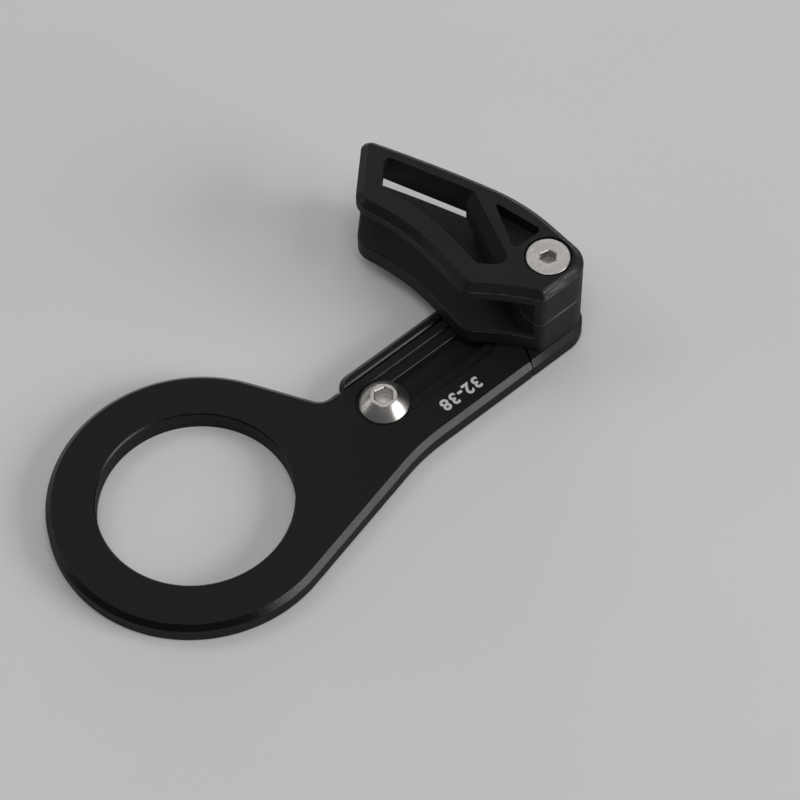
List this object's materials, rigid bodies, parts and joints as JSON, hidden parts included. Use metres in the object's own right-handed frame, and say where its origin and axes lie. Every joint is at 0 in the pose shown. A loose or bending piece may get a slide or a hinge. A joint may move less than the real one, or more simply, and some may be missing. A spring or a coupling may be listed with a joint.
{
  "type": "bicycle chain guide",
  "caption": "Chain guide for a bottom bracket mount: a flat ring and slotted arm with a sliding end block that carries an open moulded cage over the chain.",
  "frame": {"origin": "on the bottom bracket's axis, in the back face that lies against the frame's shell", "axes": "+Z along the bottom bracket's axis, away from the frame; +X along the arm, towards the cage; +Y towards the cage's tip"},
  "size_m": [0.1049, 0.0569, 0.0208],
  "materials": {
    "anodised_plate": "black anodised, satin",
    "bolt_steel": "stainless, satin",
    "cage_plastic": "black, moulded, matte"
  },
  "bodies": {
    "base": {"base_plate": "anodised_plate"},
    "slide": {"slider": "anodised_plate", "clamp_bolt": "bolt_steel", "cage_outer": "cage_plastic", "cage_inner": "cage_plastic", "cage_screw": "bolt_steel"}
  },
  "joints": [
    {"name": "reach_slide", "type": "slide", "parent": "base", "child": "slide", "axis": [1, 0, 0], "range_m": [0, 0.02]}
  ]
}
